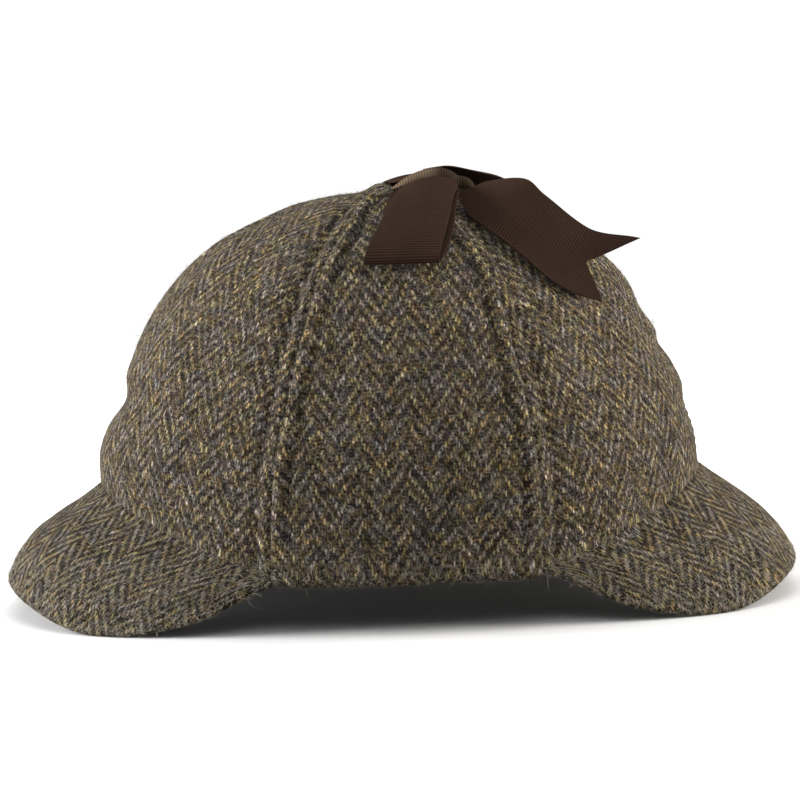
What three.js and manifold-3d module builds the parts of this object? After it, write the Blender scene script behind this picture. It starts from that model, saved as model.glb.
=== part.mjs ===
// A tweed deerstalker hat: a soft crown of six sewn panels, a stiffened peak at the front and at the back,
// two ear flaps folded up over the sides, and the ribbons of the flaps tied in a bow on top.
// Sizes are in millimetres. +Z is up, the hat faces -X, its left side is -Y, and it rests on z = 0.
import * as THREE from "three";
import Module from "manifold-3d";

// Driving sizes.
const CROWN_WALL = 2;
const PEAK_WALL = 3;
const FLAP_WALL = 3;
const RIBBON_WALL = 1;
const RIBBON_WIDTH = 25;
const PIECE_GAP = 0.3;
const PANEL_TIP_RADIUS = 3;
const FLAP_CLEARANCE = 0.4;
const FLAP_OVERLAP_DEG = 2.2;
const FLAP_TIP_RISE = 0.765;
const PEAK_START_DEG = -65.9;
const PEAK_END_DEG = 63.6;
const FRONT_CAMBER = 0.9;
const BACK_CAMBER = 0.65;
const TAIL_NOTCH = 0.105;
const FLOOR_DEPTH = 40;
const LEFT = -1;
const RIGHT = 1;

// Crown: half-length (front to back) and half-width at heights above the floor, from its edge to its tip.
const CROWN_SECTIONS = [
  { z: 15.8, halfLength: 103.6, halfWidth: 83.6 },
  { z: 30.8, halfLength: 104.2, halfWidth: 84 },
  { z: 44.8, halfLength: 104.4, halfWidth: 84 },
  { z: 54.8, halfLength: 103.6, halfWidth: 83.4 },
  { z: 64.8, halfLength: 100.4, halfWidth: 81.6 },
  { z: 75.8, halfLength: 96.6, halfWidth: 79 },
  { z: 86.8, halfLength: 92, halfWidth: 75.4 },
  { z: 96.8, halfLength: 87.4, halfWidth: 71.2 },
  { z: 108.8, halfLength: 80.6, halfWidth: 65.2 },
  { z: 119.8, halfLength: 70.2, halfWidth: 56.6 },
  { z: 129.8, halfLength: 55.4, halfWidth: 44.8 },
  { z: 136.4, halfLength: 39, halfWidth: 31.6 },
  { z: 139.8, halfLength: 23, halfWidth: 18.6 },
  { z: 141.4, halfLength: 10.5, halfWidth: 8.5 },
  { z: 141.8, halfLength: 0, halfWidth: 0 },
];

// Crown edge: its height above the floor at angles from the front or the back.
const CROWN_EDGE = [
  { angle: 0, z: 43.6 },
  { angle: 22, z: 38.8 },
  { angle: 45, z: 28.6 },
  { angle: 57, z: 22.4 },
  { angle: 66, z: 19.4 },
  { angle: 78, z: 19.2 },
  { angle: 90, z: 19.8 },
];

// Side panels: half of the angle they take and the angle of their middle, at shares of the way up the crown.
const SIDE_SEAM = [
  { rise: 0, halfAngle: 22.4, middle: 88.7 },
  { rise: 0.3, halfAngle: 20.6, middle: 89.6 },
  { rise: 0.5, halfAngle: 18.8, middle: 90.6 },
  { rise: 0.65, halfAngle: 16.2, middle: 91 },
  { rise: 0.85, halfAngle: 14, middle: 91 },
  { rise: 1, halfAngle: 13.8, middle: 91 },
];

// Soft dents of the crown: where they lie, how deep they go (a bulge is negative) and how far they reach.
const CROWN_DENTS = [
  { angle: 0, z: 72.8, depth: 3, angleReach: 46, zReach: 10 },
  { angle: 0, z: 114.6, depth: 1.5, angleReach: 60, zReach: 24 },
  { angle: 0, z: 133.2, depth: 2.8, angleReach: 70, zReach: 9 },
  { angle: 180, z: 99.2, depth: 1.2, angleReach: 40, zReach: 9 },
  { angle: 180, z: 85.8, depth: 1.4, angleReach: 40, zReach: 6 },
  { angle: 180, z: 72.8, depth: -1.4, angleReach: 42, zReach: 8 },
];

// Peaks: width, downward slope, plan direction and camber of the cloth at angles from the middle of the peak.
const PEAK_SECTIONS = [
  { angle: 0, width: 46, slope: 43, aim: 0, camber: 4.6 },
  { angle: 18, width: 45.6, slope: 45, aim: 18, camber: 4.2 },
  { angle: 32, width: 43.4, slope: 50, aim: 34, camber: 3 },
  { angle: 42, width: 35.4, slope: 54, aim: 45, camber: 2 },
  { angle: 51, width: 23.6, slope: 58, aim: 55, camber: 1 },
  { angle: 58, width: 11.8, slope: 61, aim: 62, camber: 0.4 },
  { angle: 63, width: 4.6, slope: 63, aim: 67, camber: 0.1 },
  { angle: 66, width: 2.6, slope: 64, aim: 70, camber: 0 },
];

// Ear flaps: how far they stand off the crown at shares of the way from the fold to the tip.
const FLAP_STAND_OFF = [
  { share: 0, off: 0 },
  { share: 0.75, off: 0.2 },
  { share: 1, off: 1.2 },
];

// Ties: path of the ribbon from a flap's tip to the knot, outward from the middle and upward, its width,
// the tilt of its direction across and its bulge between the edges.
const TIE_PATH = [
  { out: 29.4, up: 139.8, shift: 0, width: RIBBON_WIDTH, tilt: 0, bulge: 0 },
  { out: 24, up: 140.3, shift: 2, width: 22, tilt: 0, bulge: 0 },
  { out: 17, up: 141, shift: 5, width: 17, tilt: 0, bulge: 0 },
  { out: 8.4, up: 142.1, shift: 8, width: 13, tilt: 0, bulge: 0 },
];

// Loops: path of the ribbon from the knot out along the lower layer, round the end and back on top.
const LOOP_PATH_LEFT = [
  { out: 8.4, up: 143.5, shift: 13, width: 9, tilt: 0, bulge: 0 },
  { out: 16, up: 142.6, shift: 12.4, width: 14, tilt: 0, bulge: 0 },
  { out: 25, up: 141.9, shift: 11, width: 19, tilt: 0, bulge: 0 },
  { out: 35, up: 141.1, shift: 9.6, width: 22.6, tilt: 0, bulge: 0 },
  { out: 47, up: 136, shift: 7.2, width: 24, tilt: 0, bulge: 0 },
  { out: 58, up: 127.2, shift: 4.4, width: 24.6, tilt: 0, bulge: 0 },
  { out: 63.6, up: 121, shift: 1, width: RIBBON_WIDTH, tilt: 0, bulge: 0 },
  { out: 65.6, up: 119.2, shift: -0.2, width: RIBBON_WIDTH, tilt: 0, bulge: 0 },
  { out: 66.8, up: 120.8, shift: -0.4, width: 24.6, tilt: 0, bulge: 0 },
  { out: 64.4, up: 125.4, shift: 1.2, width: 24, tilt: 0, bulge: 0.2 },
  { out: 56, up: 133.4, shift: 5, width: 22.4, tilt: 1, bulge: 0.5 },
  { out: 45, up: 139.5, shift: 7.8, width: 21.4, tilt: 2, bulge: 1.2 },
  { out: 34, up: 142.8, shift: 10.8, width: 20, tilt: 2, bulge: 1.7 },
  { out: 22, up: 144.1, shift: 12.6, width: 17, tilt: 2, bulge: 1.8 },
  { out: 14, up: 144.7, shift: 13.4, width: 13.6, tilt: 2, bulge: 1.3 },
  { out: 8.4, up: 144.9, shift: 13.6, width: 11, tilt: 0, bulge: 0.6 },
];
const LOOP_PATH_RIGHT = [
  { out: 8.4, up: 143.5, shift: 11.6, width: 9, tilt: 0, bulge: 0 },
  { out: 16, up: 142.6, shift: 9.4, width: 14, tilt: 0, bulge: 0 },
  { out: 25, up: 141.9, shift: 6.8, width: 19, tilt: 0, bulge: 0 },
  { out: 35, up: 141.1, shift: 5.4, width: 22.6, tilt: 0, bulge: 0 },
  { out: 47, up: 136, shift: 4.4, width: 24, tilt: 0, bulge: 0 },
  { out: 58, up: 127.2, shift: 3, width: 24.6, tilt: 0, bulge: 0 },
  { out: 63.6, up: 121, shift: 1, width: RIBBON_WIDTH, tilt: 0, bulge: 0 },
  { out: 65.6, up: 119.2, shift: -0.2, width: RIBBON_WIDTH, tilt: 0, bulge: 0 },
  { out: 66.8, up: 120.8, shift: -0.4, width: 24.6, tilt: 0, bulge: 0 },
  { out: 64.4, up: 125.4, shift: 0.6, width: 24, tilt: 0, bulge: 0.2 },
  { out: 56, up: 133.4, shift: 4.2, width: 23, tilt: 1, bulge: 0.5 },
  { out: 45, up: 140.1, shift: 6.6, width: 21.4, tilt: 2, bulge: 1 },
  { out: 34, up: 144.2, shift: 7.4, width: 20, tilt: 4, bulge: 1.4 },
  { out: 22, up: 145.8, shift: 8, width: 18, tilt: 6, bulge: 1.4 },
  { out: 14, up: 145.9, shift: 9.6, width: 14.6, tilt: 6, bulge: 1 },
  { out: 8.4, up: 145.3, shift: 11.6, width: 11, tilt: 0, bulge: 0.6 },
];

// Tails: middle of the ribbon, the direction across it and its width, from the knot to the cut end.
const TAIL_PATH_LEFT = [
  { x: 21.9, out: 8.2, up: 141.2, acrossX: 0.3, acrossOut: -0.9, acrossUp: 0.2, width: 6.5 },
  { x: 23.8, out: 17.6, up: 139.8, acrossX: 0.3, acrossOut: -0.9, acrossUp: 0.28, width: 12 },
  { x: 27.8, out: 28, up: 139.1, acrossX: 0.42, acrossOut: -0.72, acrossUp: 0.5, width: 20 },
  { x: 36.2, out: 37.2, up: 137.2, acrossX: 0.6, acrossOut: -0.5, acrossUp: 0.62, width: RIBBON_WIDTH },
  { x: 44.4, out: 42.4, up: 130.4, acrossX: 0.46, acrossOut: -0.53, acrossUp: 0.72, width: RIBBON_WIDTH },
  { x: 58, out: 45.4, up: 118.8, acrossX: 0.5, acrossOut: -0.48, acrossUp: 0.7, width: RIBBON_WIDTH },
  { x: 74.2, out: 44.6, up: 113.7, acrossX: 0.54, acrossOut: -0.08, acrossUp: 0.84, width: RIBBON_WIDTH },
];
const TAIL_PATH_RIGHT = [
  { x: 13, out: 10.6, up: 148.8, acrossX: 0.1, acrossOut: -0.99, acrossUp: 0, width: 9 },
  { x: 19, out: 13.4, up: 149.2, acrossX: 0.12, acrossOut: -0.98, acrossUp: 0.1, width: 13 },
  { x: 28, out: 19.6, up: 145, acrossX: 0.25, acrossOut: -0.92, acrossUp: 0.3, width: 19 },
  { x: 36, out: 29.4, up: 138.8, acrossX: 0.38, acrossOut: -0.76, acrossUp: 0.5, width: 24 },
  { x: 46, out: 41.6, up: 128.8, acrossX: 0.42, acrossOut: -0.66, acrossUp: 0.62, width: RIBBON_WIDTH },
  { x: 57, out: 49.4, up: 115.8, acrossX: 0.44, acrossOut: -0.52, acrossUp: 0.73, width: RIBBON_WIDTH },
  { x: 67, out: 52.4, up: 103.2, acrossX: 0.5, acrossOut: -0.42, acrossUp: 0.75, width: RIBBON_WIDTH },
];

// Knot: half-width, lower and upper height of its sections along X.
const KNOT_SECTIONS = [
  { x: -4.6, halfWidth: 3.2, low: 142.15, high: 143.5 },
  { x: -3.2, halfWidth: 4.6, low: 142.1, high: 144.2 },
  { x: 0, halfWidth: 6.2, low: 142.1, high: 145.3 },
  { x: 4, halfWidth: 7.4, low: 142.1, high: 146.8 },
  { x: 10, halfWidth: 7.8, low: 142.1, high: 148.6 },
  { x: 16, halfWidth: 7.4, low: 142.1, high: 149.6 },
  { x: 20.4, halfWidth: 6.2, low: 141.4, high: 148.6 },
  { x: 23, halfWidth: 4.8, low: 140.6, high: 146.8 },
  { x: 26, halfWidth: 4.4, low: 140.1, high: 146 },
  { x: 28.2, halfWidth: 3.4, low: 139.8, high: 144.6 },
  { x: 29.2, halfWidth: 2.2, low: 140.2, high: 143.2 },
];

const TWEED = new THREE.MeshStandardMaterial({ color: 0x5d5240, roughness: 0.95 });
const RIBBON = new THREE.MeshStandardMaterial({ color: 0x2e1f16, roughness: 0.7 });

const radians = THREE.MathUtils.degToRad;
const wasm = await Module();
wasm.setup();

// Smooth value of one column of a table between its rows.
function tableValue(rows, key, column, at) {
  const last = rows.length - 1;
  const inside = Math.min(Math.max(at, rows[0][key]), rows[last][key]);
  let row = 0;
  while (row < last - 1 && inside > rows[row + 1][key]) {
    row += 1;
  }
  const slopeAt = (index) => {
    const before = rows[Math.max(index - 1, 0)];
    const after = rows[Math.min(index + 1, last)];
    const end = index === 0 || index === last;
    return end ? 0 : (after[column] - before[column]) / (after[key] - before[key]);
  };
  const span = rows[row + 1][key] - rows[row][key];
  const t = (inside - rows[row][key]) / span;
  const startPart = (1 + 2 * t) * (1 - t) ** 2 * rows[row][column];
  const endPart = t * t * (3 - 2 * t) * rows[row + 1][column];
  const slopePart = t * (1 - t) ** 2 * slopeAt(row) - t * t * (1 - t) * slopeAt(row + 1);
  return startPart + endPart + span * slopePart;
}

// Middle and half of the angle of a side panel at a rise.
function sideMiddle(rise) {
  return tableValue(SIDE_SEAM, "rise", "middle", rise);
}

function sideHalf(rise) {
  return tableValue(SIDE_SEAM, "rise", "halfAngle", rise);
}

// Angle of a place on the crown from the nearer of front and back, in degrees.
function angleFromEnd(angle) {
  const turn = ((angle % 180) + 180) % 180;
  return turn > 90 ? 180 - turn : turn;
}

// A bell that is 1 at its middle and falls to 0 at its reach.
function bell(distance, reach) {
  const share = Math.min(Math.abs(distance) / reach, 1);
  return 0.5 + 0.5 * Math.cos(Math.PI * share);
}

const crownCurve = new THREE.CatmullRomCurve3(
  CROWN_SECTIONS.map((row) => new THREE.Vector3(row.halfLength, row.halfWidth, row.z)),
  false,
  "centripetal",
);

// Point of the crown's outer face: angle in degrees from the front towards the left side, rise from 0 to 1.
function crownFace(angle, rise) {
  const section = crownCurve.getPointAt(Math.min(Math.max(rise, 0), 1));
  let dent = 0;
  for (const row of CROWN_DENTS) {
    const turn = ((angle - row.angle + 540) % 360) - 180;
    dent += row.depth * bell(turn, row.angleReach) * bell(section.z - row.z, row.zReach);
  }
  const turnedX = -(section.x - dent) * Math.cos(radians(angle));
  const turnedY = -(section.y - dent) * Math.sin(radians(angle));
  return new THREE.Vector3(turnedX, turnedY, section.z);
}

// Outward direction and upward direction of the crown's face at a place.
function crownDirections(angle, rise) {
  const step = 0.004;
  const low = Math.max(rise - step, 0);
  const high = Math.min(rise + step, 0.995);
  const around = crownFace(angle + 0.5, rise).sub(crownFace(angle - 0.5, rise)).normalize();
  const up = crownFace(angle, high).sub(crownFace(angle, low)).normalize();
  const out = new THREE.Vector3().crossVectors(around, up).normalize();
  return { out, up };
}

function crownPoint(angle, rise, offset) {
  const face = crownFace(angle, rise);
  return face.addScaledVector(crownDirections(angle, rise).out, offset);
}

// Rise of the crown's lower edge at an angle.
function edgeRise(angle) {
  const height = tableValue(CROWN_EDGE, "angle", "z", angleFromEnd(angle));
  let low = 0;
  let high = 0.5;
  for (let step = 0; step < 26; step += 1) {
    const middle = (low + high) / 2;
    if (crownCurve.getPointAt(middle).z < height) {
      low = middle;
    } else {
      high = middle;
    }
  }
  return (low + high) / 2;
}

// Rise at which the crown's half-length has come down to a radius near its tip.
function tipRise(radius) {
  let low = 0.5;
  let high = 1;
  for (let step = 0; step < 26; step += 1) {
    const middle = (low + high) / 2;
    if (crownCurve.getPointAt(middle).x > radius) {
      low = middle;
    } else {
      high = middle;
    }
  }
  return (low + high) / 2;
}

// Closed solid between two faces that are given over across 0 to 1 and along 0 to 1.
function wallBetween(outer, inner, acrossCount, alongCount) {
  const positions = [];
  const faces = [];
  const stride = acrossCount + 1;
  const layer = stride * (alongCount + 1);
  for (const face of [outer, inner]) {
    for (let j = 0; j <= alongCount; j += 1) {
      for (let i = 0; i <= acrossCount; i += 1) {
        const point = face(i / acrossCount, j / alongCount);
        positions.push(point.x, point.y, point.z);
      }
    }
  }
  const quad = (a, b, c, d) => faces.push(a, b, c, a, c, d);
  for (let j = 0; j < alongCount; j += 1) {
    for (let i = 0; i < acrossCount; i += 1) {
      const corner = j * stride + i;
      quad(corner, corner + 1, corner + stride + 1, corner + stride);
      const back = corner + layer;
      quad(back, back + stride, back + stride + 1, back + 1);
    }
  }
  const top = alongCount * stride;
  for (let i = 0; i < acrossCount; i += 1) {
    quad(i + 1, i, layer + i, layer + i + 1);
    quad(top + i, top + i + 1, layer + top + i + 1, layer + top + i);
  }
  for (let j = 0; j < alongCount; j += 1) {
    const left = j * stride;
    const right = left + acrossCount;
    quad(left, left + stride, layer + left + stride, layer + left);
    quad(right + stride, right, layer + right, layer + right + stride);
  }
  const geometry = new THREE.BufferGeometry();
  geometry.setAttribute("position", new THREE.Float32BufferAttribute(positions, 3));
  geometry.setIndex(faces);
  return geometry;
}

// Closed solid through a row of rings with the same number of points.
function loft(rings) {
  const count = rings[0].length;
  const positions = [];
  const faces = [];
  for (const ring of rings) {
    for (const point of ring) {
      positions.push(point.x, point.y, point.z);
    }
  }
  for (let j = 0; j < rings.length - 1; j += 1) {
    for (let i = 0; i < count; i += 1) {
      const next = (i + 1) % count;
      const a = j * count + i;
      const b = j * count + next;
      faces.push(a, b, b + count, a, b + count, a + count);
    }
  }
  for (const [j, flip] of [[0, true], [rings.length - 1, false]]) {
    const middle = positions.length / 3;
    const sum = rings[j].reduce((total, point) => total.add(point), new THREE.Vector3());
    sum.divideScalar(count);
    positions.push(sum.x, sum.y, sum.z);
    for (let i = 0; i < count; i += 1) {
      const a = j * count + i;
      const b = j * count + (i + 1) % count;
      faces.push(middle, flip ? b : a, flip ? a : b);
    }
  }
  const geometry = new THREE.BufferGeometry();
  geometry.setAttribute("position", new THREE.Float32BufferAttribute(positions, 3));
  geometry.setIndex(faces);
  return geometry;
}

function toManifold(geometry) {
  const mesh = new wasm.Mesh({
    numProp: 3,
    vertProperties: new Float32Array(geometry.getAttribute("position").array),
    triVerts: new Uint32Array(geometry.getIndex().array),
  });
  mesh.merge();
  return new wasm.Manifold(mesh);
}

function fromManifold(solid) {
  const mesh = solid.getMesh();
  const geometry = new THREE.BufferGeometry();
  geometry.setAttribute("position", new THREE.Float32BufferAttribute(mesh.vertProperties, 3));
  geometry.setIndex(Array.from(mesh.triVerts));
  return geometry;
}

// Cuts a piece off flat where it lies on the floor.
function flattenOnFloor(geometry) {
  const slab = new THREE.BoxGeometry(600, 600, FLOOR_DEPTH);
  slab.translate(0, 0, -FLOOR_DEPTH / 2);
  return fromManifold(toManifold(geometry).subtract(toManifold(slab)));
}

// One panel of the crown between two seams, each given as an angle for every rise.
function crownPanel(startSeam, endSeam) {
  const top = tipRise(PANEL_TIP_RADIUS);
  const place = (across, along) => {
    let angle = startSeam(0) + across * (endSeam(0) - startSeam(0));
    for (let step = 0; step < 4; step += 1) {
      const rise = edgeRise(angle);
      angle = startSeam(rise) + across * (endSeam(rise) - startSeam(rise));
    }
    const bottom = edgeRise(angle);
    const rise = bottom + along * (top - bottom);
    const section = crownCurve.getPointAt(rise);
    const shift = THREE.MathUtils.radToDeg(PIECE_GAP / 2 / section.y);
    const start = startSeam(rise) + shift;
    const end = endSeam(rise) - shift;
    return { angle: start + across * (end - start), rise };
  };
  const face = (offset) => (across, along) => {
    const spot = place(across, along);
    return crownPoint(spot.angle, spot.rise, offset);
  };
  return wallBetween(face(0), face(-CROWN_WALL), 9, 15);
}

// A peak at the front: it hangs from the crown's lower edge and curves down to the floor at its sides.
// Its camber is a share of the camber in the table.
function peak(camberShare) {
  const spot = (across, along, depth) => {
    const angle = PEAK_START_DEG + across * (PEAK_END_DEG - PEAK_START_DEG);
    const from = Math.abs(angle);
    const side = Math.sign(angle);
    const slope = radians(tableValue(PEAK_SECTIONS, "angle", "slope", from));
    const aim = radians(tableValue(PEAK_SECTIONS, "angle", "aim", from)) * side;
    const width = tableValue(PEAK_SECTIONS, "angle", "width", from);
    const root = crownFace(angle, edgeRise(angle));
    const away = new THREE.Vector3(-Math.cos(aim), -Math.sin(aim), 0);
    const run = away.clone().multiplyScalar(Math.cos(slope));
    run.z = -Math.sin(slope);
    const out = away.clone().multiplyScalar(Math.sin(slope));
    out.z = Math.cos(slope);
    const share = 1 - along;
    const camberHere = camberShare * tableValue(PEAK_SECTIONS, "angle", "camber", from);
    const camber = camberHere * Math.sin(Math.PI * share ** 1.4);
    root.z -= PIECE_GAP;
    return root.addScaledVector(run, share * width).addScaledVector(out, camber - depth);
  };
  const upper = (across, along) => spot(across, along, 0);
  const lower = (across, along) => spot(across, along, PEAK_WALL);
  return flattenOnFloor(wallBetween(upper, lower, 34, 5));
}

// The left ear flap: turned under the crown's lower edge, folded up and laid over the side panel.
function earFlap() {
  const lipShare = 0.12;
  const spot = (across, along, layer) => {
    const share = Math.max((along - lipShare) / (1 - lipShare), 0);
    const turn = (rise) => sideMiddle(rise) + (2 * across - 1) * (sideHalf(rise) + FLAP_OVERLAP_DEG);
    const bottom = edgeRise(turn(0));
    const rise = bottom + share * (FLAP_TIP_RISE - bottom);
    const angle = turn(rise);
    const off = FLAP_CLEARANCE + tableValue(FLAP_STAND_OFF, "share", "off", share);
    const { out, up } = crownDirections(angle, rise);
    const face = crownFace(angle, rise);
    if (along >= lipShare) {
      return face.addScaledVector(out, off + layer);
    }
    const bend = Math.min((1 - along / lipShare) / 0.6, 1) * Math.PI / 2;
    const under = Math.max((1 - along / lipShare - 0.6) / 0.4, 0) * CROWN_WALL;
    const radius = off + layer;
    face.addScaledVector(out, radius * Math.cos(bend) - under);
    return face.addScaledVector(up, -radius * Math.sin(bend));
  };
  const outer = (across, along) => spot(across, along, FLAP_WALL);
  const inner = (across, along) => spot(across, along, 0);
  return wallBetween(outer, inner, 10, 22);
}

// Ribbon along rows of sections: its middle line, its direction across, its width and bulge run smoothly.
function ribbon(sections, notch, acrossCount, alongCount) {
  const curveOf = (points) => new THREE.CatmullRomCurve3(points, false, "centripetal");
  const middle = curveOf(sections.map((row) => row.middle));
  const across = curveOf(sections.map((row) => row.across));
  const last = sections.length - 1;
  const shapes = sections.map((row, index) => ({ place: index / last, width: row.width, bulge: row.bulge }));
  const spot = (side, along, depth) => {
    const reach = along * (1 - notch * (1 - Math.abs(2 * side - 1)));
    const line = middle.getPoint(reach);
    const tangent = middle.getTangent(reach);
    const wide = across.getPoint(reach).normalize();
    const out = new THREE.Vector3().crossVectors(wide, tangent).normalize();
    const width = tableValue(shapes, "place", "width", reach);
    const bulge = tableValue(shapes, "place", "bulge", reach) * (1 - (2 * side - 1) ** 2);
    return line.addScaledVector(wide, (side - 0.5) * width).addScaledVector(out, depth + bulge);
  };
  const upper = (side, along) => spot(side, along, RIBBON_WALL / 2);
  const lower = (side, along) => spot(side, along, -RIBBON_WALL / 2);
  return wallBetween(upper, lower, acrossCount, alongCount);
}

// Ribbon sections that lie in an upright plane over one side of the hat: LEFT or RIGHT.
function uprightSections(path, side) {
  return path.map((row) => ({
    middle: new THREE.Vector3(row.shift, side * row.out, row.up),
    across: new THREE.Vector3(Math.cos(radians(row.tilt)), 0, Math.sin(radians(row.tilt))),
    width: row.width,
    bulge: -side * row.bulge,
  }));
}

// Ribbon sections of a free end on one side of the hat.
function tailSections(path, side) {
  return path.map((row) => ({
    middle: new THREE.Vector3(row.x, side * row.out, row.up),
    across: new THREE.Vector3(row.acrossX, side * row.acrossOut, row.acrossUp),
    width: row.width,
    bulge: 0,
  }));
}

function knot() {
  const points = 16;
  const rings = KNOT_SECTIONS.map((row) => {
    const ring = [];
    for (let i = 0; i < points; i += 1) {
      const turn = (i / points) * 2 * Math.PI;
      const middle = (row.low + row.high) / 2;
      const y = row.halfWidth * Math.cos(turn);
      const z = middle + (row.high - row.low) / 2 * Math.sin(turn);
      ring.push(new THREE.Vector3(row.x, y, z));
    }
    return ring;
  });
  return loft(rings);
}

const hat = new THREE.Group();
hat.name = "deerstalker_hat";

function add(name, geometry, material) {
  const mesh = new THREE.Mesh(geometry, material);
  mesh.name = name;
  hat.add(mesh);
}

function turned(geometry) {
  return geometry.rotateZ(Math.PI);
}

const frontSeam = () => 0;
const leftFrontSeam = (rise) => sideMiddle(rise) - sideHalf(rise);
const leftBackSeam = (rise) => sideMiddle(rise) + sideHalf(rise);
const backSeam = () => 180;
const rightBackSeam = (rise) => 180 + sideMiddle(rise) - sideHalf(rise);
const rightFrontSeam = (rise) => 180 + sideMiddle(rise) + sideHalf(rise);
const wholeTurn = () => 360;

add("crown_panel_front_left", crownPanel(frontSeam, leftFrontSeam), TWEED);
add("crown_panel_side_left", crownPanel(leftFrontSeam, leftBackSeam), TWEED);
add("crown_panel_back_left", crownPanel(leftBackSeam, backSeam), TWEED);
add("crown_panel_back_right", crownPanel(backSeam, rightBackSeam), TWEED);
add("crown_panel_side_right", crownPanel(rightBackSeam, rightFrontSeam), TWEED);
add("crown_panel_front_right", crownPanel(rightFrontSeam, wholeTurn), TWEED);
add("peak_front", peak(FRONT_CAMBER), TWEED);
add("peak_back", turned(peak(BACK_CAMBER)), TWEED);
add("ear_flap_left", earFlap(), TWEED);
add("ear_flap_right", turned(earFlap()), TWEED);
add("tie_left", ribbon(uprightSections(TIE_PATH, LEFT), 0, 4, 10), RIBBON);
add("tie_right", ribbon(uprightSections(TIE_PATH, RIGHT), 0, 4, 10), RIBBON);
add("bow_knot", knot(), RIBBON);
add("bow_loop_left", ribbon(uprightSections(LOOP_PATH_LEFT, LEFT), 0, 4, 36), RIBBON);
add("bow_loop_right", ribbon(uprightSections(LOOP_PATH_RIGHT, RIGHT), 0, 4, 36), RIBBON);
add("bow_tail_left", ribbon(tailSections(TAIL_PATH_LEFT, LEFT), TAIL_NOTCH, 4, 18), RIBBON);
add("bow_tail_right", ribbon(tailSections(TAIL_PATH_RIGHT, RIGHT), TAIL_NOTCH, 4, 18), RIBBON);

export default hat;
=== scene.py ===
import math

import bpy
import numpy as np
from mathutils import Matrix


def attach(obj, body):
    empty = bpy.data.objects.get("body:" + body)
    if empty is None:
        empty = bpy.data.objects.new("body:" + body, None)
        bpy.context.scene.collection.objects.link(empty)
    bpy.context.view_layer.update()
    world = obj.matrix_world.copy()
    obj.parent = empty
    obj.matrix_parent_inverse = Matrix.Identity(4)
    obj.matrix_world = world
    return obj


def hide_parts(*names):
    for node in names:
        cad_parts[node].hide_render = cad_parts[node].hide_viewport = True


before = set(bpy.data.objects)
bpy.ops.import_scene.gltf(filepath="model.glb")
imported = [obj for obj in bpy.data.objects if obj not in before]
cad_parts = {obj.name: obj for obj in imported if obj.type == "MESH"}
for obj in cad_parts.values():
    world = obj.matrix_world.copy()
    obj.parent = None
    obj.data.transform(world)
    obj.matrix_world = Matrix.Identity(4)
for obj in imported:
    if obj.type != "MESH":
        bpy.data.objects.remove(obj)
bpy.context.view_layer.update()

# A tweed deerstalker hat on a pale floor. Sizes are in millimetres until a mesh is made, lamps in metres.
# The hat faces -X, its left side is -Y and shows in the picture, and it rests on z = 0.
MM = 0.001
CROWN_WALL = 2.0
PEAK_WALL = 3.0
FLAP_WALL = 3.0
RIBBON_WALL = 0.6
RIBBON_WIDTH = 25.0
PIECE_GAP = 0.3
PEAK_ROOT_RISE = 0.2
PEAK_LOWEST = 0.02
PANEL_TIP_RADIUS = 0.8
SEAM_LAP = 0.25
FLAP_CLEARANCE = 0.4
FLAP_OVERLAP_DEG = 2.2
FLAP_TIP_RISE = 0.765
FLAP_LIP_SHARE = 0.12
FLAP_WEAVE_SHIFT = -0.4
TAIL_NOTCH = 0.105
FLAP_STITCH_IN = 6.0
CROWN_STITCH_OUT = 6.2
SEAM_STITCH_IN = 5.0
WARP_PITCH = 0.93
WEFT_PITCH = 1.28
STRIPE_ENDS = 8
TWEED_TONE = 0.37
RIBBON_TONE = 0.235
RIBBON_HUE = (0.0595, 0.0357, 0.0257)
# The knot is a lighter copy of the ribbon: partly its stretched, opened ribs, partly painted sheen and light
# from above.
KNOT_TONE_AND_SHEEN = 0.72
KNOT_HUE = (0.0605, 0.0430, 0.0288)
RIB_PITCH = 0.94
FLOOR_RADIUS = 1300.0
WORLD_STRENGTH = 1.05
EDGE_ROWS = 5
FLATTEN_GRID = (19, 15)
FLATTEN_ROUNDS = 500
FLATTEN_PUSH = 1.6
LEFT = -1.0
RIGHT = 1.0
NO_TURN = np.ones(3)
HALF_TURN = np.array([-1.0, -1.0, 1.0])

# Knot ribbon's darker end, where its painted sheen gives way to the plain ribbon's tone: from and to along X,
# share of the colour that is left.
KNOT_SHEEN_END = (12.5, 17.0, 0.3)
# Cloth drawn up beside the knot: lift, place in X and Y, reach in X and Y.
PUCKER_LIFT = 3.0
PUCKER_SPOT = (-4.0, 4.0)
PUCKER_REACH = (5.0, 6.0)
# Loose fibres are denser below a height and near an edge, by the same addition each.
FUZZ_LOW_HEIGHT = 22
FUZZ_EDGE = 2.5
FUZZ_ADDED = 2.5
FUZZ_LOWEST = 0.1

# Crown: half-length, half-width, height above the floor.
CROWN_SECTIONS = np.array([
    (103.6, 83.6, 15.8),
    (104.2, 84, 30.8),
    (104.4, 84, 44.8),
    (103.6, 83.4, 54.8),
    (100.4, 81.6, 64.8),
    (96.6, 79, 75.8),
    (92, 75.4, 86.8),
    (87.4, 71.2, 96.8),
    (80.6, 65.2, 108.8),
    (70.2, 56.6, 119.8),
    (55.4, 44.8, 129.8),
    (39, 31.6, 136.4),
    (23, 18.6, 139.8),
    (10.5, 8.5, 141.4),
    (0, 0, 141.8),
])
# Crown edge: angle from the front or the back, height.
CROWN_EDGE = np.array([(0, 43.6), (22, 38.8), (45, 28.6), (57, 22.4), (66, 19.4), (78, 19.2), (90, 19.8)])
# Side panels: rise, half of their angle, angle of their middle.
SIDE_SEAM = np.array([
    (0.0, 22.4, 88.7),
    (0.3, 20.6, 89.6),
    (0.5, 18.8, 90.6),
    (0.65, 16.2, 91.0),
    (0.85, 14.0, 91.0),
    (1.0, 13.8, 91.0),
])
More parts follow.
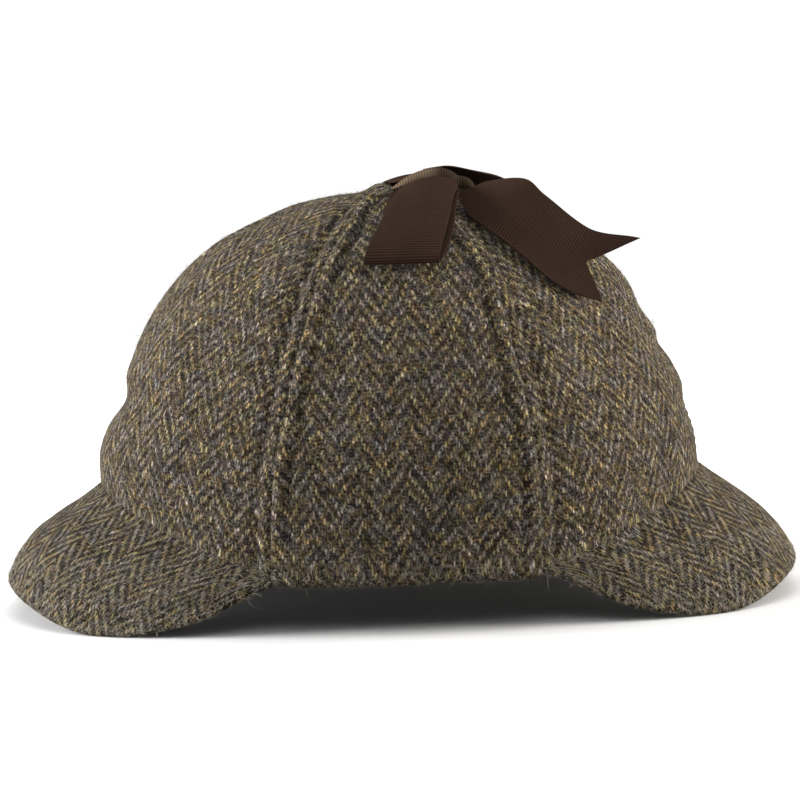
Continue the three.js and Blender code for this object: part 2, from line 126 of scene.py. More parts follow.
# Dents of the crown: angle, height, depth, reach in angle, reach in height.
CROWN_DENTS = [
    (0, 72.8, 3, 46, 10),
    (0, 114.6, 1.5, 60, 24),
    (0, 133.2, 2.8, 70, 9),
    (180, 99.2, 1.2, 40, 9),
    (180, 85.8, 1.4, 40, 6),
    (180, 72.8, -1.4, 42, 8),
]
# Peaks: angle from the middle, width, downward slope, plan direction, camber.
PEAK_SECTIONS = np.array([
    (0, 46, 43, 0, 4.6),
    (18, 45.6, 45, 18, 4.2),
    (32, 43.4, 50, 34, 3),
    (42, 35.4, 54, 45, 2),
    (51, 23.6, 58, 55, 1),
    (58, 11.8, 61, 62, 0.4),
    (63, 4.6, 63, 67, 0.1),
    (66, 2.6, 64, 70, 0),
])
# Seam allowance of a peak inside the crown: depth behind the crown, height over its edge, half its wall.
PEAK_TUCK = np.array([(2.2, -1.0, 1.1), (2.8, 0.2, 0.7), (2.9, 1.6, 0.6), (2.9, 4.0, 0.6)])
PEAK_START = -65.9
PEAK_END = 63.6
FRONT_CAMBER = 0.9
BACK_CAMBER = 0.65
# Flaps: share of the height, distance that they stand off.
FLAP_STAND_OFF = np.array([(0, 0.0), (0.75, 0.2), (1, 1.2)])
# Upright ribbons: outward, upward, shift along X, width, then tilt and bulge across unless both are 0.
TIE_PATH = [
    (29.4, 139.8, 0, 25),
    (24, 140.3, 2.4, 22),
    (17, 141, 6, 17),
    (8.4, 142.1, 8.4, 14),
    (5.6, 142.5, 8.8, 13.5),
]
LOOP_LEFT = [
    (4.2, 143.8, 13.2, 7.5),
    (8.4, 143.5, 13, 9),
    (16, 142.6, 12.4, 14),
    (25, 141.9, 11, 19),
    (35, 141.1, 9.6, 22.6),
    (47, 136, 7.2, 24),
    (58, 127.2, 4.4, 24.6),
    (63.6, 121, 1, 25),
    (65.6, 119.2, -0.2, 25),
    (66.8, 120.8, -0.4, 24.6),
    (64.4, 125.4, 1.2, 24, 0, 0.2),
    (56, 133.4, 5, 22.4, 1, 0.5),
    (45, 139.5, 7.8, 21.4, 2, 1.2),
    (34, 142.8, 10.8, 20, 2, 1.7),
    (22, 144.1, 12.6, 17, 2, 1.8),
    (14, 144.7, 13.4, 13.6, 2, 1.3),
    (8.4, 144.9, 13.6, 11, 0, 0.6),
    (4.2, 145.2, 13.8, 9, 0, 0.4),
]
LOOP_RIGHT = [
    (4.2, 143.8, 12.2, 7.5),
    (8.4, 143.5, 11.6, 9),
    (16, 142.6, 9.4, 14),
    (25, 141.9, 6.8, 19),
    (35, 141.1, 5.4, 22.6),
    (47, 136, 4.4, 24),
    (58, 127.2, 3, 24.6),
    (63.6, 121, 1, 25),
    (65.6, 119.2, -0.2, 25),
    (66.8, 120.8, -0.4, 24.6),
    (64.4, 125.4, 0.6, 24, 0, 0.2),
    (56, 133.4, 4.2, 23, 1, 0.5),
    (45, 140.1, 6.6, 21.4, 2, 1),
    (34, 144.2, 7.4, 20, 4, 1.4),
    (22, 145.8, 8, 18, 6, 1.4),
    (14, 145.9, 9.6, 14.6, 6, 1),
    (8.4, 145.3, 11.6, 11, 0, 0.6),
    (4.2, 145.5, 12.2, 9, 0, 0.4),
]
# Tails: X, outward, upward, direction across as X, outward and upward, width.
TAIL_LEFT = [
    (20.6, 4, 142.6, 0.3, -0.9, 0.15, 6),
    (21.9, 8.2, 141.2, 0.3, -0.9, 0.2, 6.5),
    (23.8, 17.6, 139.8, 0.3, -0.9, 0.28, 12),
    (27.8, 28, 139.1, 0.42, -0.72, 0.5, 20),
    (36.2, 37.2, 137.2, 0.6, -0.5, 0.62, 25),
    (44.4, 42.4, 130.4, 0.46, -0.53, 0.72, 25),
    (58, 45.4, 118.8, 0.5, -0.48, 0.7, 25),
    (74.2, 44.6, 113.7, 0.54, -0.08, 0.84, 25),
]
TAIL_RIGHT = [
    (11.8, 6.4, 147.5, 0.1, -0.99, 0, 9.5),
    (13, 10.6, 148.8, 0.1, -0.99, 0, 10.5),
    (19, 13.4, 149.2, 0.12, -0.98, 0.1, 14.5),
    (28, 19.6, 145, 0.25, -0.92, 0.3, 19),
    (36, 29.4, 138.8, 0.38, -0.76, 0.5, 24),
    (46, 41.6, 128.8, 0.42, -0.66, 0.62, 25),
    (57, 49.4, 115.8, 0.44, -0.52, 0.73, 25),
    (67, 52.4, 103.2, 0.5, -0.42, 0.75, 25),
]
# Knot: X, half-width, lower height, upper height.
KNOT_SECTIONS = np.array([
    (-0.8, 3.0, 142.15, 142.9),
    (0.6, 4.6, 142.1, 143.5),
    (2.4, 6.2, 142.1, 144.7),
    (5.2, 7.4, 142.1, 146.6),
    (10, 7.8, 142.1, 148.6),
    (16, 7.4, 142.1, 149.6),
    (20.4, 6.2, 141.4, 148.6),
    (23, 4.8, 140.6, 146.8),
    (26, 4.4, 140.1, 146),
    (28.2, 3.4, 139.8, 144.6),
    (29.2, 2.2, 140.2, 143.2),
])
# Creases of the knot: angle around it, sway, depth, reach in angle.
KNOT_CREASES = [
    (0.75, 0.25, 0.55, 0.16),
    (1.45, -0.2, 0.5, 0.14),
    (2.2, 0.2, 0.45, 0.15),
    (-0.3, 0.3, 0.5, 0.2),
    (3.4, -0.2, 0.5, 0.2),
]


def stand(made, right, up, ahead, spot):
    """Links a camera or a lamp that looks ahead from a spot."""
    bpy.context.scene.collection.objects.link(made)
    rows = [[right[k], up[k], -ahead[k], spot[k]] for k in range(3)]
    made.matrix_world = Matrix(rows + [[0, 0, 0, 1]])


# Camera, at the photograph's angle.
def place_camera(target, distance, azimuth, elevation, roll, span):
    az, el, turn = (math.radians(a) for a in (azimuth, elevation, roll))
    ahead = np.array([-math.sin(az) * math.cos(el), math.cos(az) * math.cos(el), -math.sin(el)])
    right = np.cross(ahead, (0, 0, 1))
    right /= np.linalg.norm(right)
    up = np.cross(right, ahead)
    across = right * math.cos(turn) + up * math.sin(turn)
    upward = up * math.cos(turn) - right * math.sin(turn)
    data = bpy.data.cameras.new("camera")
    data.sensor_width = 36.0
    data.lens = data.sensor_width * distance / span
    data.clip_end = 50.0
    cam = bpy.data.objects.new("camera", data)
    stand(cam, across, upward, ahead, (np.array(target) - ahead * distance) * MM)
    bpy.context.scene.camera = cam


place_camera(target=(0.6, 0, 68.8), distance=1000.0, azimuth=-2.5, elevation=5.0, roll=-1.75, span=280.0)


# Tables and curves.
def table_value(table, column, at):
    """Value between the rows of a table: a cubic through the rows, level at both ends."""
    keys = table[:, 0].astype(float)
    values = table[:, column].astype(float)
    slope = np.zeros_like(values)
    slope[1:-1] = (values[2:] - values[:-2]) / (keys[2:] - keys[:-2])
    at = np.clip(at, keys[0], keys[-1])
    row = np.clip(np.searchsorted(keys[1:], at, side="left"), 0, len(keys) - 2)
    span = keys[row + 1] - keys[row]
    t = (at - keys[row]) / span
    ends = (1 + 2 * t) * (1 - t) ** 2 * values[row] + t * t * (3 - 2 * t) * values[row + 1]
    return ends + span * (t * (1 - t) ** 2 * slope[row] - t * t * (1 - t) * slope[row + 1])


def spline(points, at):
    """Centripetal Catmull-Rom curve; at runs from 0 to 1 in equal steps from point to point."""
    p = np.asarray(points, float)
    full = np.vstack([2 * p[0] - p[1], p, 2 * p[-1] - p[-2]])
    gap = np.sum(np.diff(full, axis=0) ** 2, axis=1) ** 0.25
    count = len(p) - 1
    place = np.clip(np.asarray(at, float), 0, 1) * count
    k = np.minimum(place.astype(int), count - 1)
    w = (place - k)[..., None]
    d1 = np.where(gap[k + 1] < 1e-4, 1.0, gap[k + 1])
    d0 = np.where(gap[k] < 1e-4, d1, gap[k])[..., None]
    d2 = np.where(gap[k + 2] < 1e-4, d1, gap[k + 2])[..., None]
    d1 = d1[..., None]
    a, b, c, d = full[k], full[k + 1], full[k + 2], full[k + 3]
    t1 = ((b - a) / d0 - (c - a) / (d0 + d1) + (c - b) / d1) * d1
    t2 = ((c - b) / d1 - (d - b) / (d1 + d2) + (d - c) / d2) * d1
    return b + t1 * w + (-3 * b + 3 * c - 2 * t1 - t2) * w**2 + (2 * b - 2 * c + t1 + t2) * w**3


def unit(vectors):
    return vectors / np.maximum(np.linalg.norm(vectors, axis=-1, keepdims=True), 1e-9)


def bell(distance, reach):
    return 0.5 + 0.5 * np.cos(np.pi * np.minimum(np.abs(distance) / reach, 1))


def hump(distance, reach):
    return np.exp(-((distance / reach) ** 2))


def soft_step(low, high, value):
    t = np.clip((value - low) / (high - low), 0, 1)
    return t * t * (3 - 2 * t)


def lengths(line):
    """Lengths along a line from its first point."""
    return np.concatenate([[0], np.cumsum(np.linalg.norm(np.diff(line, axis=0), axis=1))])


def point_at(at, run, line):
    """Point of a line at a length along it."""
    return np.array([np.interp(at, run, line[:, k]) for k in range(3)])


class Ripple:
    """Smooth irregular field in space: a sum of waves of about one length."""

    def __init__(self, seed, length, count=14):
        rng = np.random.default_rng(seed)
        self.way = unit(rng.normal(size=(count, 3))) * (2 * np.pi / length)
        self.way *= rng.uniform(0.6, 1.5, size=(count, 1))
        self.start = rng.uniform(0, 2 * np.pi, size=count)

    def __call__(self, points):
        return np.sin(points @ self.way.T + self.start).sum(-1) / math.sqrt(len(self.start) / 2) / 1.6


# Crown surface: angle in degrees from the front towards the left side, rise from 0 to 1.
CROWN_LINE = spline(CROWN_SECTIONS, np.linspace(0, 1, 4001))
CROWN_RISE = lengths(CROWN_LINE)
CROWN_RISE /= CROWN_RISE[-1]


def crown_section(rise):
    return point_at(np.clip(rise, 0, 1), CROWN_RISE, CROWN_LINE)


def crown_face(angle, rise):
    half_length, half_width, z = crown_section(rise)
    dent = 0
    for at_angle, at_z, depth, angle_reach, z_reach in CROWN_DENTS:
        turn = (angle - at_angle + 540) % 360 - 180
        dent = dent + depth * bell(turn, angle_reach) * bell(z - at_z, z_reach)
    a = np.radians(angle)
    return np.stack([-(half_length - dent) * np.cos(a), -(half_width - dent) * np.sin(a), z + 0 * a], -1)


def degree_length(angle, rise):
    """Length of one degree around the crown."""
    return np.linalg.norm(crown_face(angle + 0.5, rise) - crown_face(angle - 0.5, rise), axis=-1)


def crown_ways(angle, rise):
    """Outward and upward direction of the crown's face."""
    around = unit(crown_face(angle + 0.5, rise) - crown_face(angle - 0.5, rise))
    low = np.maximum(rise - 0.004, 0)
    high = np.minimum(rise + 0.004, 0.995)
    up = unit(crown_face(angle, high) - crown_face(angle, low))
    return unit(np.cross(around, up)), up


def edge_rise(angle):
    turn = np.asarray(angle, float) % 180
    height = table_value(CROWN_EDGE, 1, np.where(turn > 90, 180 - turn, turn))
    half = CROWN_RISE < 0.5
    return np.interp(height, CROWN_LINE[half, 2], CROWN_RISE[half])


def side_half(rise):
    return table_value(SIDE_SEAM, 1, rise)


def side_middle(rise):
    return table_value(SIDE_SEAM, 2, rise)


TIP_RISE = float(np.interp(-PANEL_TIP_RADIUS, -CROWN_LINE[2000:, 0], CROWN_RISE[2000:]))


# Cloth grids.
def graded(length, edge, step):
    """Shares from 0 to 1 along a strip, close together over its two rounded edges."""
    ramp = edge * (1 - np.cos(np.linspace(0, np.pi / 2, EDGE_ROWS + 1)))
    inner = np.linspace(edge, length - edge, max(int((length - 2 * edge) / step), 2) + 1)
    return np.concatenate([ramp[:-1], inner, length - ramp[-2::-1]]) / length


def runs(grid):
    """Lengths along a grid from its first column and its first row."""
    across = np.linalg.norm(np.diff(grid, axis=1), axis=2).cumsum(1)
    along = np.linalg.norm(np.diff(grid, axis=0), axis=2).cumsum(0)
    across = np.pad(across, ((0, 0), (1, 0)))
    along = np.pad(along, ((1, 0), (0, 0)))
    return across, along


def rounding(across, along, radius, end_radius=None):
    """1 inside a sheet, falling to 0 at its rim like a round edge."""
    near = np.minimum(
        np.minimum(across, across[:, -1:] - across) / radius,
        np.minimum(along, along[-1:] - along) / (end_radius or radius),
    )
    return np.sqrt(np.maximum(1 - (1 - np.clip(near, 0, 1)) ** 2, 0))


def grid_normals(grid, towards):
    across = np.gradient(grid, axis=1)
    along = np.gradient(grid, axis=0)
    normal = unit(np.cross(across, along))
    sign = np.sign((normal * towards).sum(-1, keepdims=True))
    return normal * np.where(sign == 0, 1, sign)


def fill_between(values, places, count):
    return np.interp(np.arange(count), places, values)


def lay_flat(grid):
    """Lays a cloth grid flat with as little stretch as it can: the pattern its cloth was cut to."""
    n, m = FLATTEN_GRID
    rows = np.linspace(0, grid.shape[0] - 1, n).round().astype(int)
    cols = np.linspace(0, grid.shape[1] - 1, m).round().astype(int)
    coarse = grid[np.ix_(rows, cols)]
    across, along = runs(coarse)
    flat = np.stack([across - across[:, m // 2][:, None], along[:, m // 2][:, None] + 0 * across], -1)
    ids = np.arange(n * m).reshape(n, m)
    pairs = [
        (ids[:, :-1], ids[:, 1:]),
        (ids[:-1], ids[1:]),
        (ids[:-1, :-1], ids[1:, 1:]),
        (ids[:-1, 1:], ids[1:, :-1]),
    ]
    one = np.concatenate([a.ravel() for a, b in pairs])
    two = np.concatenate([b.ravel() for a, b in pairs])
    space = coarse.reshape(-1, 3)
    rest = np.linalg.norm(space[one] - space[two], axis=1)
    flat = flat.reshape(-1, 2)
    count = np.bincount(one, minlength=n * m) + np.bincount(two, minlength=n * m)
    for _ in range(FLATTEN_ROUNDS):
        gap = flat[one] - flat[two]
        size = np.maximum(np.linalg.norm(gap, axis=1), 1e-6)
        push = gap * ((size - rest) / size * 0.5)[:, None]
        for axis in range(2):
            move = np.bincount(two, push[:, axis], n * m) - np.bincount(one, push[:, axis], n * m)
            flat[:, axis] += FLATTEN_PUSH * move / count
    flat = flat.reshape(n, m, 2)
    middle = flat[:, m // 2]
    way = middle[-1] - middle[0]
    turn = math.atan2(way[0], way[1])
    spin = np.array([[math.cos(turn), -math.sin(turn)], [math.sin(turn), math.cos(turn)]])
    flat = (flat - middle[0]) @ spin.T
    wide = np.apply_along_axis(fill_between, 1, flat, cols, grid.shape[1])
    return np.apply_along_axis(fill_between, 0, wide, rows, grid.shape[0])


def new_mesh(name, verts, groups, uv, material, smooth=True):
    """Mesh object from arrays: corners in millimetres, groups of faces of one size, a uv for each corner."""
    corners = np.concatenate([faces.ravel() for faces in groups]).astype(np.int32)
    sizes = np.concatenate([np.full(len(faces), faces.shape[1], np.int32) for faces in groups])
    data = bpy.data.meshes.new(name)
    data.vertices.add(len(verts))
    data.vertices.foreach_set("co", (verts * MM).astype(np.float32).ravel())
    data.loops.add(len(corners))
    data.loops.foreach_set("vertex_index", corners)
    data.polygons.add(len(sizes))
    data.polygons.foreach_set("loop_start", (np.cumsum(sizes) - sizes).astype(np.int32))
    data.polygons.foreach_set("use_smooth", np.full(len(sizes), smooth))
    if uv is not None:
        layer = data.uv_layers.new(name="cloth")
        layer.data.foreach_set("uv", uv[corners].astype(np.float32).ravel())
    data.update(calc_edges=True)
    data.validate()
    data.materials.append(material)
    piece = bpy.data.objects.new(name, data)
    bpy.context.scene.collection.objects.link(piece)
    return piece


def join(piece, node=None):
    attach(piece, "root")
    if node:
        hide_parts(node)


def grid_quads(ids):
    return np.stack([ids[:-1, :-1], ids[:-1, 1:], ids[1:, 1:], ids[1:, :-1]], -1).reshape(-1, 4)


def cloth(name, middle, out, upper, lower, uv, material, node, floor=None):
    """Closed piece of cloth: two faces off a middle grid, which meet round the rim."""
    n, m = middle.shape[:2]
    top = middle + out * upper[..., None]
    under = middle - out * lower[..., None]
    ids = np.arange(n * m).reshape(n, m)
    back = ids.copy()
    back[1:-1, 1:-1] = n * m + np.arange((n - 2) * (m - 2)).reshape(n - 2, m - 2)
    verts = np.concatenate([top.reshape(-1, 3), under[1:-1, 1:-1].reshape(-1, 3)])
    maps = np.concatenate([uv.reshape(-1, 2), uv[1:-1, 1:-1].reshape(-1, 2)])
    if floor is not None:
        verts[:, 2] = np.maximum(verts[:, 2], floor)
    i, j = n // 2, m // 2
    face = np.cross(middle[i, j + 1] - middle[i, j], middle[i + 1, j] - middle[i, j])
    front = grid_quads(ids)
    rear = grid_quads(back)
    if face @ out[i, j] > 0:
        rear = rear[:, ::-1]
    else:
        front = front[:, ::-1]
    piece = new_mesh(name, verts, [front, rear], maps, material)
    join(piece, node)
    return piece, top


# Materials.
class Net:
    """Short way to write a node tree."""

    def __init__(self, name):
        self.material = bpy.data.materials.new(name)
        self.material.use_nodes = True
        self.tree = self.material.node_tree
        self.tree.nodes.clear()

    def node(self, kind, **settings):
        made = self.tree.nodes.new(kind)
        for key, value in settings.items():
            setattr(made, key, value)
        return made

    def put(self, socket, value):
        if isinstance(value, bpy.types.NodeSocket):
            self.tree.links.new(value, socket)
        else:
            socket.default_value = value

    def math(self, operation, *values):
        made = self.node("ShaderNodeMath", operation=operation)
        for socket, value in zip(made.inputs, values):
            self.put(socket, value)
        return made.outputs[0]

    def add(self, a, b):
        return self.math("ADD", a, b)

    def sub(self, a, b):
        return self.math("SUBTRACT", a, b)

    def mul(self, a, b):
        return self.math("MULTIPLY", a, b)

    def swing(self, value, size):
        """A value of 0 to 1 as a swing about zero."""
        return self.mul(self.sub(value, 0.5), size)

    def scale(self, value, low, high, to_low=0.0, to_high=1.0):
        made = self.node("ShaderNodeMapRange", clamp=True)
        for socket, given in zip(made.inputs, (value, low, high, to_low, to_high)):
            self.put(socket, given)
        return made.outputs["Result"]

    def vary(self, value, low, high, share):
        """A factor that varies about one by a share to either side."""
        return self.scale(value, low, high, 1.0 - share, 1.0 + share)

    def pair(self, x, y):
        made = self.node("ShaderNodeCombineXYZ")
        self.put(made.inputs[0], x)
        self.put(made.inputs[1], y)
        return made.outputs[0]

    def noise(self, x, y, detail=1.0, rough=0.5, distortion=0.0):
        made = self.node("ShaderNodeTexNoise", noise_dimensions="2D")
        self.put(made.inputs["Vector"], self.pair(x, y))
        made.inputs["Scale"].default_value = 1.0
        for key, given in (("Detail", detail), ("Roughness", rough), ("Distortion", distortion)):
            made.inputs[key].default_value = given
        return made.outputs[0]

    def chances(self, x, y):
        made = self.node("ShaderNodeTexWhiteNoise", noise_dimensions="2D")
        self.put(made.inputs["Vector"], self.pair(x, y))
        split = self.node("ShaderNodeSeparateColor")
        self.put(split.inputs[0], made.outputs["Color"])
        return split.outputs[0], split.outputs[1]

    def ramp(self, value, stops):
        made = self.node("ShaderNodeValToRGB")
        steps = made.color_ramp.elements
        while len(steps) < len(stops):
            steps.new(0.5)
        for step, (place, colour) in zip(steps, stops):
            step.position = place
            step.color = (*colour, 1.0)
        self.put(made.inputs[0], value)
        return made.outputs[0]

    def blend(self, share, one, two, mode="MIX"):
        made = self.node("ShaderNodeMix", data_type="RGBA", blend_type=mode)
        self.put(made.inputs[0], share)
        for socket, value in ((made.inputs[6], one), (made.inputs[7], two)):
            if isinstance(value, tuple):
                value = (*value, 1.0)
            self.put(socket, value)
        return made.outputs[2]

    def tint(self, colour, factor):
        grey = self.node("ShaderNodeCombineColor")
        for socket in grey.inputs:
            self.put(socket, factor)
        return self.blend(1.0, colour, grey.outputs[0], "MULTIPLY")

    def places(self):
        uv = self.node("ShaderNodeUVMap", uv_map="cloth")
        split = self.node("ShaderNodeSeparateXYZ")
        self.put(split.inputs[0], uv.outputs[0])
        return split.outputs[0], split.outputs[1]

    def finish(self, colour, height, depth, roughness, specular, sheen, sheen_tint):
        shader = self.node("ShaderNodeBsdfPrincipled")
        for key, given in (
            ("Base Color", colour),
            ("Roughness", roughness),
            ("Specular IOR Level", specular),
            ("Sheen Weight", sheen),
            ("Sheen Roughness", 0.5),
            ("Sheen Tint", (*sheen_tint, 1.0)),
        ):
            self.put(shader.inputs[key], given)
        if height is not None:
            bump = self.node("ShaderNodeBump")
            bump.inputs["Strength"].default_value = 1.0
            bump.inputs["Distance"].default_value = depth * MM
            self.put(bump.inputs["Height"], height)
            self.put(shader.inputs["Normal"], bump.outputs[0])
        end = self.node("ShaderNodeOutputMaterial")
        self.tree.links.new(shader.outputs[0], end.inputs[0])
        return self.material


def tweed_material(name, fuzz, depth):
    """Two-and-two twill herringbone of light mixed warp over a dark weft; u and v in millimetres."""
    net = Net(name)
    u, v = net.places()
    lean = net.noise(net.mul(u, 0.32), net.mul(v, 0.2), 2.0)
    drift = net.noise(net.add(net.mul(u, 0.3), 41.0), net.mul(v, 0.3), 2.0)
    rag = net.noise(net.mul(u, 2.6), net.mul(v, 1.5), 2.0, 0.6)
    rag_up = net.noise(net.mul(u, 1.5), net.add(net.mul(v, 2.4), 17.0), 2.0, 0.6)
    end = net.add(net.add(u, net.swing(lean, 1.3)), net.swing(rag, 0.9 * fuzz))
    end = net.math("DIVIDE", end, WARP_PITCH)
    pick = net.add(net.add(v, net.swing(drift, 1.6)), net.swing(rag_up, 1.2 * fuzz))
    pick = net.math("DIVIDE", pick, WEFT_PITCH)
    warp = net.math("FLOOR", end)
    weft = net.math("FLOOR", pick)
    across = net.sub(net.mul(net.math("FRACT", end), 2.0), 1.0)
    rung = net.sub(net.mul(net.math("FRACT", pick), 2.0), 1.0)
    turn = net.math("FLOORED_MODULO", warp, 2.0 * STRIPE_ENDS)
    half = STRIPE_ENDS - 0.5
    step = net.sub(half, net.math("ABSOLUTE", net.sub(turn, half)))
    cut = net.mul(net.math("GREATER_THAN", turn, half), 2.0)
    place = net.mul(net.add(net.add(pick, step), cut), 0.25)
    one, two = net.chances(warp, net.math("FLOOR", place))
    reach = net.sub(net.mul(net.math("FRACT", place), 4.0), net.vary(one, 0.0, 1.0, 0.45 * fuzz))
    over = net.math("MAXIMUM", net.sub(1.0, net.mul(reach, reach)), 0.0)
    round_warp = net.math("SQRT", net.sub(1.0, net.mul(across, across)))
    round_weft = net.math("SQRT", net.sub(1.0, net.mul(rung, rung)))
    warp_high = net.mul(round_warp, net.math("POWER", over, 0.4))
    weft_high = net.mul(round_weft, 0.5)
    high = net.math("MAXIMUM", warp_high, weft_high)
    shows = net.scale(net.sub(warp_high, weft_high), -0.12, 0.12)

    cloud = net.noise(net.mul(u, 0.17), net.mul(v, 0.13), 2.0, 0.5)
    yarn = net.noise(net.mul(warp, 3.7), net.mul(v, 0.07), 2.0)
    mix = net.add(net.scale(cloud, 0.33, 0.67), net.swing(one, 0.06))
    mix = net.math("FRACT", net.add(net.add(mix, net.swing(yarn, 0.14)), 1.0))
    heather = net.ramp(mix, [
        (0.0, (0.207, 0.160, 0.127)),
        (0.12, (0.163, 0.168, 0.157)),
        (0.25, (0.234, 0.174, 0.163)),
        (0.38, (0.266, 0.220, 0.140)),
        (0.50, (0.218, 0.201, 0.098)),
        (0.62, (0.240, 0.187, 0.072)),
        (0.71, (0.258, 0.158, 0.074)),
        (0.81, (0.203, 0.163, 0.095)),
        (1.0, (0.207, 0.160, 0.127)),
    ])
    curl = net.noise(net.add(net.mul(u, 2.4), net.mul(v, 0.9)), net.mul(v, 1.1), 3.0, 0.7, 1.0)
    # Streaks: partly fibre tone, partly painted light and shade of the curly fibres.
    streak_and_painted_relief = net.scale(curl, 0.34, 0.66, 1.0 - fuzz, 1.0 + 1.05 * fuzz)
    clump = net.noise(net.add(net.mul(u, 1.05), net.mul(v, 0.3)), net.mul(v, 0.62), 2.0, 0.6, 0.6)
    streak_and_painted_relief = net.mul(streak_and_painted_relief, net.vary(clump, 0.3, 0.7, 0.5 * fuzz))
    warp_colour = net.tint(heather, net.vary(two, 0.0, 1.0, 0.5 * fuzz))
    fill, _ = net.chances(net.add(weft, 900.0), net.math("FLOOR", net.mul(end, 0.5)))
    weft_colour = net.blend(1.0, heather, (0.72 * depth, 0.645 * depth, 0.68 * depth), "MULTIPLY")
    weft_colour = net.tint(weft_colour, net.vary(fill, 0.0, 1.0, 0.5 * fuzz))
    colour = net.blend(shows, weft_colour, warp_colour)
    for size, seed, fleck in ((0.42, 3.0, (0.28, 0.165, 0.045)), (0.36, 9.0, (0.11, 0.145, 0.165))):
        spot = net.noise(net.add(net.mul(u, size), seed), net.mul(v, size * 0.7), 2.0, 0.5)
        colour = net.blend(net.scale(spot, 0.64, 0.73, 0.0, 0.52), colour, fleck)
    # Painted shade: the colour darkens down between the yarns, where they sink; the streaks add painted light
    # and shade of the fibres' relief.
    colour = net.tint(colour, net.mul(net.math("POWER", net.scale(high, 0.1, 1.0, 0.02, 1.2), 1.5), streak_and_painted_relief))
    for turn_u, turn_v, seed in ((0.9, 0.44, 7.0), (0.35, -0.94, 19.0), (-0.75, 0.66, 31.0)):
        along = net.add(net.mul(u, turn_u), net.mul(v, turn_v))
        beside = net.sub(net.mul(v, turn_u), net.mul(u, turn_v))
        strand = net.noise(net.add(net.mul(along, 0.42), seed), net.mul(beside, 3.0), 1.0, 0.5, 0.6)
        colour = net.blend(net.scale(strand, 0.68, 0.76, 0.0, 0.5), colour, (0.36, 0.31, 0.23))
    dapple = net.noise(net.mul(u, 0.27), net.add(net.mul(v, 0.21), 5.0), 2.0, 0.55)
    colour = net.tint(colour, net.scale(dapple, 0.28, 0.72, 0.52, 1.48))
    patch = net.noise(net.mul(u, 0.045), net.mul(v, 0.06), 3.0, 0.6)
    colour = net.tint(colour, net.scale(patch, 0.25, 0.75, 0.86 * TWEED_TONE, 1.14 * TWEED_TONE))
    height = net.add(high, net.add(net.swing(curl, 1.3), net.swing(clump, 1.0)))
    return net.finish(colour, height, 0.6, 0.95, 0.03, 0.02, (0.62, 0.56, 0.45))


def ribbon_material(name, tone, hue, fade=None):
    """Dark brown grosgrain: fine ribs across the ribbon, u across and v along; it may darken along v, where
    the knot's painted sheen ends.
    """
    net = Net(name)
    u, v = net.places()
    sway = net.swing(net.noise(net.mul(u, 0.06), net.mul(v, 0.08), 2.0), 0.25)
    rib = net.math("FRACT", net.math("DIVIDE", net.add(v, sway), RIB_PITCH))
    bow = net.sub(net.mul(rib, 2.0), 1.0)
    round_rib = net.math("SQRT", net.sub(1.0, net.mul(bow, bow)))
    thread = net.noise(net.mul(u, 6.0), net.mul(v, 0.7), 2.0, 0.6)
    cell = net.noise(net.mul(u, 2.4), net.mul(v, 2.4), 2.0, 0.6)
    shade = net.mul(net.scale(round_rib, 0.0, 1.0, 0.25, 1.3), net.scale(thread, 0.3, 0.7, 0.84, 1.16))
    wear = net.noise(net.mul(u, 0.11), net.mul(v, 0.05), 3.0, 0.6)
    low = tuple(0.84 * tone * part for part in hue)
    high = tuple(1.04 * tone * part for part in hue)
    colour = net.ramp(wear, [(0.25, low), (0.75, high)])
    colour = net.tint(colour, shade)
    # Where the knot's painted sheen ends: the colour darkens along v.
    if fade:
        colour = net.tint(colour, net.scale(v, fade[0], fade[1], 1.0, fade[2]))
    speck = net.scale(cell, 0.70, 0.82, 0.0, 0.25)
    colour = net.blend(speck, colour, tuple(2.4 * tone * part for part in hue))
    height = net.add(round_rib, net.mul(thread, 0.25))
    return net.finish(colour, height, 0.16, 0.75, 0.0, 0.0, (0.5, 0.38, 0.3))


def thread_material():
    net = Net("sewing_thread")
    u, v = net.places()
    ply = net.math("FRACT", net.add(net.mul(v, 1.6), net.mul(u, 2.0)))
    lift = net.scale(net.math("ABSOLUTE", net.sub(ply, 0.5)), 0.0, 0.5, 1.0, 0.4)
    # Painted shade: the thread is darker down between its plies, where lift is low.
    colour = net.ramp(lift, [(0.0, (0.0, 0.0, 0.0)), (1.0, (0.030, 0.022, 0.014))])
    return net.finish(colour, lift, 0.05, 0.7, 0.25, 0.1, (0.5, 0.45, 0.35))


def fibre_material():
    net = Net("wool_fibre")
    u, v = net.places()
    colour = net.ramp(u, [
        (0.0, (0.060, 0.047, 0.034)),
        (0.35, (0.100, 0.088, 0.066)),
        (0.7, (0.150, 0.138, 0.112)),
        (0.9, (0.125, 0.098, 0.044)),
        (1.0, (0.105, 0.050, 0.022)),
    ])
    # Painted shade near the cloth: each fibre is darker at its root and lighter towards its tip.
    colour = net.tint(colour, net.scale(v, 0.0, 1.0, 0.85, 1.1))
    return net.finish(colour, None, 0.0, 0.8, 0.2, 0.0, (1.0, 1.0, 1.0))


TWEED = tweed_material("tweed_herringbone", fuzz=1.0, depth=1.0)
TWEED_PEAK = tweed_material("tweed_herringbone_stretched", fuzz=0.6, depth=0.55)
RIBBON = ribbon_material("ribbon_grosgrain", RIBBON_TONE, RIBBON_HUE)
# Knot material: the ribbon made lighter, partly its opened ribs, partly painted sheen and top light.
KNOT = ribbon_material("ribbon_knot_grosgrain_painted_sheen", KNOT_TONE_AND_SHEEN, KNOT_HUE, KNOT_SHEEN_END)
THREAD = thread_material()
FIBRE = fibre_material()


